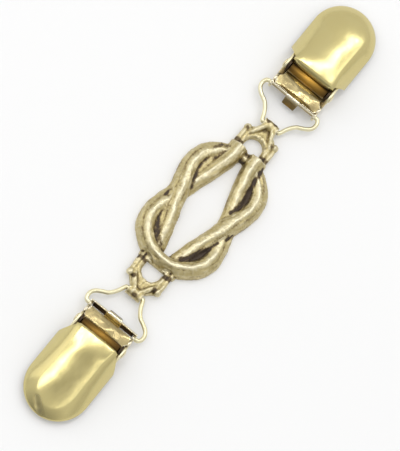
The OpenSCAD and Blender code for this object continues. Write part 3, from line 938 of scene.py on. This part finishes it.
def trough_point(x, z, across, _):
    """A point of the lever's sheet: narrower towards the barrel, its floor dished and uneven."""
    half = LEVER_HALF - (LEVER_HALF - LEVER_END_HALF) * clamp((x - NARROW_X) / NARROW_LEN) ** 0.8
    y = across * half
    floor = clamp((x - LIP_X) / FLOOR_EASE) * clamp((FLOOR_END_X - x) / FLOOR_EASE)
    dish = DISH * (1 - (y / DISH_HALF) ** 2) - 0.15
    lump = TROUGH_LUMP * noise.noise(Vector((x / 2.4, y / 3.1, 8)))
    return x - lip_bow(x, y), y, z + (lump - dish) * floor


def shade_sheet_point(x, z, across, _):
    """A point of the black sheet of painted shade, which bows with the lip."""
    y = across * SHADE_SHEET_HALF
    return x - lip_bow(x, y), y, z


def lever_opening(c):
    """Whether a place of the lever's sheet is in a window of the lip, or round the wire's end."""
    in_height = WINDOW_Z[0] < c.z < WINDOW_Z[1] and c.x < WINDOW_X
    window = in_height and WINDOW_Y[0] < abs(c.y) < WINDOW_Y[1]
    return window or (abs(c.y) > ROOM_Y and math.hypot(c.x - EYE.x, c.z - EYE.z) < ROOM_R)


def collar(bm, centre, outer, inner, span):
    """A round collar with softened edges, turned about a joint's axis."""
    soft = 0.14
    y0, y1 = span
    middle = (y0 + y1) / 2
    profile = (
        (inner, y0), (outer - soft, y0), (outer, y0 + soft), (outer, middle),
        (outer, y1 - soft), (outer - soft, y1), (inner, y1), (inner, middle),
    )
    turned_ring(bm, centre, profile, 48)


class SWEATERCLIP_OT_levers(bpy.types.Operator):
    """Bends the levers: trough, upturned lip with its windows, tab, corner plates and barrel"""

    bl_idname = "sweaterclip.levers"
    bl_label = "Levers"

    def execute(self, context):
        half_tab = context.scene.sweater_clip.tab_w / 2
        look = worn_brass(context.scene.sweater_finish)

        def tab_point(x, z, across, share):
            """A point of the tab, which gets an eighth narrower towards its tip."""
            return x, across * (half_tab * (1 - 0.12 * share**3)), z

        for name, side in SIDES:
            bm = bmesh.new()
            bend_grid(bm, TROUGH, 40, 66, trough_point)
            doomed = [face for face in bm.faces if lever_opening(face.calc_center_median())]
            bmesh.ops.delete(bm, geom=doomed, context="FACES")
            trough = self.sheet(name + "_lever_trough", bm, side, 0.56, 1.2)
            self.paint_barrel(trough, side)
            dress(trough, name + "_lever", look, [name + "_lever"])
            bm = bmesh.new()
            bend_grid(bm, TAB, 14, 8, tab_point)
            tab = self.sheet(name + "_lever_tab", bm, side, 0.62, 2.0)
            self.paint_tab(tab)
            dress(tab, name + "_lever", look)
            self.shade_sheet(name, side, dull_brass(context.scene.sweater_finish))
            barrel = self.barrel(name, side)
            self.paint_barrel(barrel, side)
            dress(barrel, name + "_lever", look)
        return {"FINISHED"}

    def sheet(self, name, bm, side, thickness, reach):
        """Makes a bent grid a sheet with soft edges."""
        obj = new_object(name, bm, side)
        add_wall(obj, thickness)
        soften(obj, 0.14, 3)
        weather(obj, reach)
        return obj

    def paint_barrel(self, obj, side):
        """Stores the painted shade beside the barrel, under the cover's rim, and the painted amber
        reflection in its middle, weaker on the left.
        """
        x, y, z = arrays(obj.data)[0].T
        # Shade painted beside the barrel, under the cover's rim
        valley = np.clip((side * x - 48.4) / 0.3, 0, 1)
        # Warm reflection painted in the barrel's middle
        middle = np.clip(1.3 - (np.abs(y) / 4.2) ** 2, 0, 1) * np.clip((z - 4.3) / 0.8, 0.1, 1)
        if side < 0:
            middle *= 0.5
        store(obj.data, "painted_shade", valley)
        store(obj.data, "amber_reflection", valley * middle)

    def paint_tab(self, obj):
        """Stores the painted shade below the tab's bend and the faint painted amber reflection at its end.
        """
        _, y, z = arrays(obj.data)[0].T
        # Shade painted below the tab's bend, and a faint warm reflection painted at its end
        valley = np.clip((4.65 - z) / 0.3, 0, 1) * 0.8
        middle = 0.3 * np.clip(1.2 - np.abs(y) / 1.4, 0, 1) * np.clip((3.6 - z) / 1.0, 0, 1)
        store(obj.data, "painted_shade", valley)
        store(obj.data, "amber_reflection", valley * middle)

    def barrel(self, name, side):
        """The barrel on the pin, and the two corner plates with their collars on the wire's ends."""
        bm = bmesh.new()
        collar(bm, PIN, BARREL_R, BARREL_HOLE, (-BARREL_HALF, BARREL_HALF))
        for span in both_sides(*CORNER_Y):
            collar(bm, EYE, COLLAR_R, COLLAR_HOLE, span)
            side_plate(bm, CORNER_WEB, span)
        barrel = new_object(name + "_lever_barrel", bm, side)
        weather(barrel, 2.0)
        return barrel

    def shade_sheet(self, name, side, look):
        """A black sheet of painted shade inside the lip, which shows through the windows."""
        bm = bmesh.new()
        bend_grid(bm, SHADE_SHEET, 12, 24, shade_sheet_point)
        fold = new_object(name + "_lever_shade_sheet", bm, side)
        add_wall(fold, 0.12)
        settle(fold)
        # The whole sheet is painted black, as the shade inside the lip
        blacken(fold.data)
        dress(fold, name + "_lever", look)


class SWEATERCLIP_OT_pins(bpy.types.Operator):
    """Turns the rivets that pin cover, lever and jaw together"""

    bl_idname = "sweaterclip.pins"
    bl_label = "Pins"

    def execute(self, context):
        look = worn_brass(context.scene.sweater_finish)
        for name, side in SIDES:
            bm = bmesh.new()
            verts = [bm.verts.new((PIN.x + r, y, PIN.z)) for r, y in RIVET]
            for pair in zip(verts, verts[1:]):
                bm.edges.new(pair)
            turn_round(bm, verts, PIN, 36)
            bmesh.ops.remove_doubles(bm, verts=bm.verts, dist=1e-4)
            pin = new_object(name + "_clip_pin", bm, side)
            weather(pin)
            dress(pin, name + "_cover", look, [name + "_pin"])
        return {"FINISHED"}


class SWEATERCLIP_OT_jaws(bpy.types.Operator):
    """Rounds the edges of the toothed jaws"""

    bl_idname = "sweaterclip.jaws"
    bl_label = "Jaws"

    def execute(self, context):
        look = dull_brass(context.scene.sweater_finish)
        for name, _ in SIDES:
            bm = bmesh.new()
            bm.from_mesh(frame["nodes"][name + "_jaw"].data)
            bmesh.ops.scale(bm, vec=(1 / MM, 1 / MM, 1 / MM), verts=bm.verts)
            bmesh.ops.remove_doubles(bm, verts=bm.verts, dist=1e-3)
            bmesh.ops.dissolve_limit(
                bm, angle_limit=math.radians(2), use_dissolve_boundaries=False, verts=bm.verts,
                edges=bm.edges, delimit={"NORMAL"},
            )
            jaw = new_object(name + "_jaw_plate", bm)
            soften(jaw, 0.16, 3, 40)
            weather(jaw)
            # The ears stand in the narrow dark gap between the barrel and the cover's ears, and are painted
            # black as the shade in that gap
            x, y, z = arrays(jaw.data)[0].T
            blacken(jaw.data, (np.abs(x) < 56.5) & (np.abs(y) > 6.7) & (z > 2.4))
            dress(jaw, name + "_jaw", look, [name + "_jaw"])
        return {"FINISHED"}


class Nodes:
    """Adds shader nodes to a tree and joins them."""

    def __init__(self, tree):
        self.tree = tree

    def fill(self, sockets, values):
        """Links or sets each of the given inputs."""
        for key, value in values.items():
            if isinstance(value, bpy.types.NodeSocket):
                self.tree.links.new(value, sockets[key])
            else:
                sockets[key].default_value = value

    def add(self, kind, values=(), **settings):
        """A new node with its settings and inputs."""
        node = self.tree.nodes.new("ShaderNode" + kind)
        for key, value in settings.items():
            setattr(node, key, value)
        self.fill(node.inputs, dict(values))
        return node

    def math(self, operation, a, b=0.0, clamp=False):
        """The result of a Math node."""
        return self.add("Math", {0: a, 1: b}, operation=operation, use_clamp=clamp).outputs[0]

    def vector_math(self, operation, a, b):
        """The outputs of a Vector Math node: a vector, then a number."""
        return self.add("VectorMath", {0: a, 1: b}, operation=operation).outputs

    def plus(self, a, b, clamp=False):
        """A sum."""
        return self.math("ADD", a, b, clamp)

    def minus(self, a, b, clamp=False):
        """A difference."""
        return self.math("SUBTRACT", a, b, clamp)

    def times(self, a, b):
        """A product."""
        return self.math("MULTIPLY", a, b)

    def away_from(self, value, centre):
        """How far a value is from a centre, on either side."""
        return self.math("ABSOLUTE", self.minus(value, centre))

    def mix(self, share, a, b):
        """A mix of two colours; one that is given as a plain colour gets its alpha here."""
        a, b = (c if isinstance(c, bpy.types.NodeSocket) else (*c, 1.0) for c in (a, b))
        return self.add("Mix", {0: share, 6: a, 7: b}, data_type="RGBA").outputs[2]

    def between(self, value, low, high, out_low=0.0, out_high=1.0):
        """Where a value lies from low to high, as a share or on another scale."""
        values = {"Value": value, "From Min": low, "From Max": high, "To Min": out_low, "To Max": out_high}
        return self.add("MapRange", values, clamp=True).outputs[0]


def new_group(name, inputs, outputs):
    """An empty shader group with named sockets: (name, kind, default)."""
    group = bpy.data.node_groups.new(name, "ShaderNodeTree")
    for label, kind, default in inputs:
        socket = group.interface.new_socket(name=label, in_out="INPUT", socket_type="NodeSocket" + kind)
        if default is not None:
            socket.default_value = default
    for label in outputs:
        group.interface.new_socket(name=label, in_out="OUTPUT", socket_type="NodeSocketFloat")
    return group, group.nodes.new("NodeGroupInput").outputs, group.nodes.new("NodeGroupOutput").inputs


def cloud_group():
    """Soft blotches, as of tarnish: a mask from 0 to 1."""
    if "Tarnish clouds" in bpy.data.node_groups:
        return bpy.data.node_groups["Tarnish clouds"]
    inputs = (
        ("Vector", "Vector", None), ("Size", "Float", 500.0), ("Cover", "Float", 0.5),
        ("Softness", "Float", 0.2),
    )
    group, given, out = new_group("Tarnish clouds", inputs, ("Mask",))
    n = Nodes(group)
    look = {"Detail": 5.0, "Roughness": 0.62, "Distortion": 0.5}
    cloud = n.add("TexNoise", {"Vector": given["Vector"], "Scale": given["Size"], **look}).outputs[0]
    centre = n.minus(1.0, given["Cover"])
    low, high = n.minus(centre, given["Softness"]), n.plus(centre, given["Softness"])
    n.fill(out, {"Mask": n.between(cloud, low, high)})
    return group


def grain_group():
    """Fine unevenness of a metal surface: a height that changes over it, and its streaks."""
    if "Metal grain" in bpy.data.node_groups:
        return bpy.data.node_groups["Metal grain"]
    inputs = (
        ("Vector", "Vector", None), ("Size", "Float", 2000.0), ("Stretch", "Vector", (1.0, 1.0, 1.0)),
        ("Pits", "Float", 0.3),
    )
    group, given, out = new_group("Metal grain", inputs, ("Height", "Streaks"))
    n = Nodes(group)
    stretched = n.vector_math("MULTIPLY", given["Vector"], given["Stretch"])[0]
    fine = n.add("TexNoise", {"Vector": stretched, "Scale": given["Size"], "Detail": 4.0, "Roughness": 0.6})
    pits = n.add("TexVoronoi", {"Vector": given["Vector"], "Scale": given["Size"]})
    dent = n.times(n.between(pits.outputs[0], 0.0, 0.35), given["Pits"])
    n.fill(out, {"Height": n.plus(fine.outputs[0], dent), "Streaks": fine.outputs[0]})
    return group


def clouds(n, vector, size, cover, softness):
    """The mask of the tarnish group, placed with its own values."""
    values = {"Vector": vector, "Size": size, "Cover": cover, "Softness": softness}
    return n.add("Group", values, node_tree=cloud_group()).outputs["Mask"]


def grain(n, vector, size, pits, stretch=(1.0, 1.0, 1.0)):
    """The outputs of the grain group, placed with its own values."""
    values = {"Vector": vector, "Size": size, "Stretch": stretch, "Pits": pits}
    return n.add("Group", values, node_tree=grain_group()).outputs


def metal(name):
    """A new material with its node helper, Object coordinates and shader."""
    material = bpy.data.materials.new(name)
    material.use_nodes = True
    tree = material.node_tree
    tree.nodes.clear()
    n = Nodes(tree)
    shader = n.add("BsdfPrincipled")
    n.add("OutputMaterial", {"Surface": shader.outputs[0]})
    return material, n, shader, n.add("TexCoord").outputs["Object"]


def finish_metal(n, shader, base, rough, height, depth, metallic=1.0):
    """Joins colour, roughness, metallic and bump to the shader; depth is the bump's, in mm."""
    bump = n.add("Bump", {"Height": height, "Strength": 1.0, "Distance": depth * MM}).outputs[0]
    n.fill(shader.inputs, {"Base Color": base, "Roughness": rough, "Metallic": metallic, "Normal": bump})


def attribute(n, name):
    """A number stored on the mesh."""
    return n.add("Attribute", attribute_name=name).outputs["Fac"]


def antique_brass(colours):
    """Cast brass: rubbed ridges, olive flanks, dark patina drawn out along the strands, and painted shade in
    the grooves on the shaded side.
    """
    material, n, shader, place = metal("Antique cast brass")
    hollow, ridge, groove, strand = (attribute(n, name) for name in ("hollow", "ridge", "groove", "strand"))
    flow = n.add("Attribute", attribute_name="flow").outputs["Vector"]
    across = n.add("SeparateXYZ", {0: flow}).outputs[2]
    # Millimetres to metres, drawn out five times along the strand
    drawn = n.vector_math("MULTIPLY", flow, (0.00022, 0.0011, 0.0))[0]
    streaks = clouds(n, drawn, 1000.0, 0.5, 0.2)
    patches = clouds(n, place, 420.0, 0.5, 0.25)
    specks = clouds(n, place, 1500.0, 0.45, 0.12)
    # Patina lies deep in the hollows, along the strands' edges and in a broken line beside their crest; the
    # hollows also hold the shade painted in the dark grooves and behind the strands' cut ends
    dirt_and_shade = n.times(n.between(hollow, 0.18, 0.7), n.between(strand, 0.0, 1.0, 0.8, 1.0))
    edge = n.times(n.between(n.away_from(across, 0.0), 0.74, 1.0), strand)
    line = n.times(n.between(n.away_from(across, 0.45), 0.0, 0.26, 1.0, 0.0), strand)
    line = n.times(line, n.between(streaks, 0.0, 0.7, 0.25, 1.0))
    drawn_out = n.times(n.minus(streaks, 0.5), n.between(strand, 0.0, 1.0, 0.25, 1.0))
    parts = (
        (groove, 0.6), (edge, 0.2), (line, 0.4), (drawn_out, 0.7), (n.minus(specks, 0.5), 0.25),
        (n.minus(patches, 0.5), 0.3),
    )
    for part, weight in parts:
        dirt_and_shade = n.plus(dirt_and_shade, n.times(part, weight))
    # Bright metal shows on what stands proud and along the crest of each strand
    crest = n.times(n.between(n.away_from(across, -0.12), 0.08, 0.42, 1.0, 0.0), strand)
    bright = n.plus(n.times(ridge, 0.7), n.times(crest, 0.55))
    bright = n.plus(bright, n.times(n.minus(patches, 0.5), 0.3), clamp=True)
    base = n.mix(bright, n.mix(patches, colours.cast, colours.flank), colours.ridge)
    base = n.mix(n.between(dirt_and_shade, 0.12, 0.6), base, colours.film)
    base = n.mix(n.between(dirt_and_shade, 0.5, 1.0), base, colours.patina_and_shade)
    rough = n.between(dirt_and_shade, 0.0, 1.0, 0.4, 0.6)
    metallic = n.between(dirt_and_shade, 0.4, 1.1, 1.0, 0.6)
    finish_metal(n, shader, base, rough, grain(n, place, 2600.0, 0.25)["Height"], 0.05, metallic)
    return material


def plated_brass(name, colours, colour, smoothest, roughest):
    """Polished brass plate, finely scratched, a little tarnished in its hollows, and darkened where shade is
    painted on it.
    """
    if name in bpy.data.materials:
        return bpy.data.materials[name]
    material, n, shader, place = metal(name)
    patches = clouds(n, place, 130.0, 0.45, 0.3)
    specks = clouds(n, place, 1800.0, 0.33, 0.06)
    scratches = grain(n, place, 1400.0, 0.1, (0.25, 1.0, 1.0))
    # Tarnish film in the hollows, and the shade painted on the covers' lips and fold
    film_and_shade = n.between(attribute(n, "hollow"), 0.3, 0.95)
    base = n.mix(n.times(patches, 0.7), colour, colours.warm)
    base = n.mix(n.times(specks, 0.1), base, colours.speck)
    base = n.mix(film_and_shade, base, colours.film_and_shade)
    rough = n.plus(n.between(scratches["Streaks"], 0.3, 0.7, smoothest, roughest), n.times(film_and_shade, 0.3))
    metallic = n.between(film_and_shade, 0.0, 1.0, 1.0, 0.5)
    finish_metal(n, shader, base, rough, scratches["Height"], 0.004, metallic)
    return material


def pale_plate(colours):
    """The covers' pale, shiny plate."""
    return plated_brass("Pale brass plate", colours, colours.plate, 0.17, 0.25)


def bright_wire(colours):
    """The whiter, softer plate of the wires and ears."""
    return plated_brass("Bright brass wire", colours, colours.wire, 0.33, 0.42)


def worn_brass(colours):
    """Bright brass with brown tarnish in its bends, painted shade beside the barrels and under the tabs'
    bends, and a painted warm reflection on the barrels.
    """
    if "Tarnished brass" in bpy.data.materials:
        return bpy.data.materials["Tarnished brass"]
    material, n, shader, place = metal("Tarnished brass")
    hollow, ridge, painted_shade, amber_reflection = (attribute(n, name) for name in ("hollow", "ridge", "painted_shade", "amber_reflection"))
    patches = clouds(n, place, 150.0, 0.46, 0.2)
    dark = n.plus(n.times(patches, 0.6), n.between(hollow, 0.2, 0.85))
    # Tarnish, and the painted shade beside the barrels and under the tabs' bends
    dark = n.math("MAXIMUM", n.minus(dark, n.times(ridge, 0.6), clamp=True), painted_shade)
    base = n.mix(dark, colours.lever, colours.tarnish_and_shade)
    # Painted warm reflection on the barrels and the tabs' ends
    base = n.mix(amber_reflection, base, colours.amber_reflection)
    base = n.mix(n.times(n.minus(ridge, painted_shade, clamp=True), 0.8), base, colours.rubbed)
    rough = n.between(dark, 0.0, 1.0, 0.2, 0.4)
    finish_metal(n, shader, base, rough, grain(n, place, 1600.0, 0.15, (1.0, 0.3, 1.0))["Height"], 0.012)
    return material


def dull_brass(colours):
    """Dull, darkened sheet of the jaws, and the black sheets of painted shade in the levers' folds."""
    if "Dull brass" in bpy.data.materials:
        return bpy.data.materials["Dull brass"]
    material, n, shader, place = metal("Dull brass")
    patches = clouds(n, place, 170.0, 0.5, 0.3)
    base = n.mix(patches, colours.jaw, colours.jaw_patch)
    # Patina in the hollows, and black where shade is painted behind the windows and on the jaws' ears
    base = n.mix(n.between(attribute(n, "hollow"), 0.2, 0.9), base, colours.patina_and_shade)
    base = n.mix(n.between(attribute(n, "ridge"), 0.2, 0.9), base, colours.jaw_edge)
    rough = n.between(patches, 0.0, 1.0, 0.34, 0.5)
    finish_metal(n, shader, base, rough, grain(n, place, 1800.0, 0.3, (0.4, 1.0, 1.0))["Height"], 0.02)
    return material


def area_light(name, start, end, width, energy):
    """A softbox from start to end, facing the object. Places are in metres."""
    start, end = Vector(start), Vector(end)
    centre = (start + end) / 2
    long_way = (end - start).normalized()
    away = (centre - long_way * centre.dot(long_way)).normalized()
    light = bpy.data.lights.new(name, "AREA")
    light.shape = "RECTANGLE"
    light.size, light.size_y = (end - start).length, width
    light.energy = energy
    obj = bpy.data.objects.new(name, light)
    turn = Matrix((long_way, away.cross(long_way), away)).transposed()
    obj.matrix_world = Matrix.Translation(centre) @ turn.to_4x4()
    bpy.context.scene.collection.objects.link(obj)


class SWEATERCLIP_OT_stage(bpy.types.Operator):
    """Sets the photograph's camera, the pale floor and the soft light"""

    bl_idname = "sweaterclip.stage"
    bl_label = "Stage"

    def execute(self, context):
        stage = context.scene.sweater_stage
        self.camera(context.scene, stage)
        self.floor()
        self.light(context.scene, stage)
        return {"FINISHED"}

    def camera(self, scene, stage):
        """A long lens above the left-hand clip, rolled so that the clip runs across the picture."""
        back = Vector((-math.cos(stage.elevation), 0, math.sin(stage.elevation)))
        right = Vector((0, -1, 0))
        up = back.cross(right)
        turned_right = right * math.cos(stage.roll) + up * math.sin(stage.roll)
        turned_up = up * math.cos(stage.roll) - right * math.sin(stage.roll)
        pixel = MM / stage.scale
        aim = turned_right * (PHOTO_W / 2 - stage.origin_x) * pixel
        aim += turned_up * (stage.origin_y - PHOTO_H / 2) * pixel
        data = bpy.data.cameras.new("Camera")
        data.sensor_fit = "HORIZONTAL"
        data.sensor_width = 36
        data.lens = stage.scale * stage.distance / MM * data.sensor_width / PHOTO_W
        data.clip_end = 20
        camera = bpy.data.objects.new("Camera", data)
        turn = Matrix((turned_right, turned_up, back)).transposed()
        camera.matrix_world = Matrix.Translation(aim + back * stage.distance) @ turn.to_4x4()
        scene.collection.objects.link(camera)
        scene.camera = camera

    def floor(self):
        """A wide sheet of pale paper just under the object, which glows a little."""
        bm = bmesh.new()
        bmesh.ops.create_grid(bm, x_segments=1, y_segments=1, size=3000)
        bmesh.ops.translate(bm, verts=bm.verts, vec=(0, 0, -0.02))
        paper = new_object("paper_floor", bm)
        material, n, shader, place = metal("Pale paper")
        tone = n.mix(clouds(n, place, 3.0, 0.5, 0.4), (0.81, 0.81, 0.81), (0.80, 0.80, 0.795))
        n.fill(shader.inputs, {"Base Color": tone, "Roughness": 0.75, "Specular IOR Level": 0.1})
        n.fill(shader.inputs, {"Emission Color": WHITE, "Emission Strength": 0.1})
        paper.data.materials.append(material)

    def light(self, scene, stage):
        """A large key, a thin strip, a wider fill, and a pale room with darker ends and top."""
        scene.view_settings.view_transform = "Standard"
        world = bpy.data.worlds.new("Room")
        world.use_nodes = True
        n = Nodes(world.node_tree)
        direction = n.add("TexCoord").outputs["Generated"]
        x, y, z = n.add("SeparateXYZ", {0: direction}).outputs
        top = n.vector_math("DOT_PRODUCT", direction, (-0.12, -0.14, 0.983))[1]
        # Bands of the room: what is measured, where the band starts and ends, and its brightness there
        bands = (
            (x, -0.96, -0.5, 0.4, 1.0),
            (n.away_from(y, 0.0), 0.8, 0.98, 1.0, 0.82),
            (top, 0.93, 0.992, 1.0, 0.62),
        )
        shade = n.between(z, 0.35, 0.97, 0.86, 0.87)
        for measured, start, end, bright_start, bright_end in bands:
            shade = n.times(shade, n.between(measured, start, end, bright_start, bright_end))
        background = world.node_tree.nodes["Background"].inputs
        n.fill(background, {0: WHITE, 1: n.times(shade, stage.room)})
        scene.world = world
        area_light("Key", (-0.4, 1.04, 0.8), (0.46, 1.04, 0.8), 1.5, stage.key)
        area_light("Strip", (-0.54, 0.457, 1.055), (0.9, -0.23, 0.67), 0.036, stage.strip)
        area_light("Fill", (-0.82, -0.29, 1.186), (0.87, -0.36, 0.675), 0.11, stage.fill)


class SWEATERCLIP_PT_panel(bpy.types.Panel):
    """Lists the steps that make the sweater clip"""

    bl_idname = "SWEATERCLIP_PT_panel"
    bl_label = "Sweater Clip"
    bl_space_type = "VIEW_3D"
    bl_region_type = "UI"
    bl_category = "Sweater Clip"

    def draw(self, context):
        for name, group in GROUPS:
            box = self.layout.box()
            for setting in group.__annotations__:
                box.prop(getattr(context.scene, name), setting)
        for step in STEPS:
            self.layout.operator(step.bl_idname)


GROUPS = (
    ("sweater_knot", KnotSizes),
    ("sweater_clip", ClipSizes),
    ("sweater_finish", Finishes),
    ("sweater_stage", StageSizes),
)
STEPS = (
    SWEATERCLIP_OT_stage,
    SWEATERCLIP_OT_knot,
    SWEATERCLIP_OT_covers,
    SWEATERCLIP_OT_bails,
    SWEATERCLIP_OT_levers,
    SWEATERCLIP_OT_pins,
    SWEATERCLIP_OT_jaws,
)


def register():
    """Registers the settings, the operators and the panel."""
    for name, group in GROUPS:
        bpy.utils.register_class(group)
        setattr(bpy.types.Scene, name, PointerProperty(type=group))
    for step in STEPS:
        bpy.utils.register_class(step)
    bpy.utils.register_class(SWEATERCLIP_PT_panel)


def unregister():
    """Takes them out again."""
    bpy.utils.unregister_class(SWEATERCLIP_PT_panel)
    for step in reversed(STEPS):
        bpy.utils.unregister_class(step)
    for name, group in reversed(GROUPS):
        delattr(bpy.types.Scene, name)
        bpy.utils.unregister_class(group)


def main():
    """Makes every piece."""
    register()
    for step in STEPS:
        family, name = step.bl_idname.split(".")
        getattr(getattr(bpy.ops, family), name)()


if __name__ == "__main__":
    main()
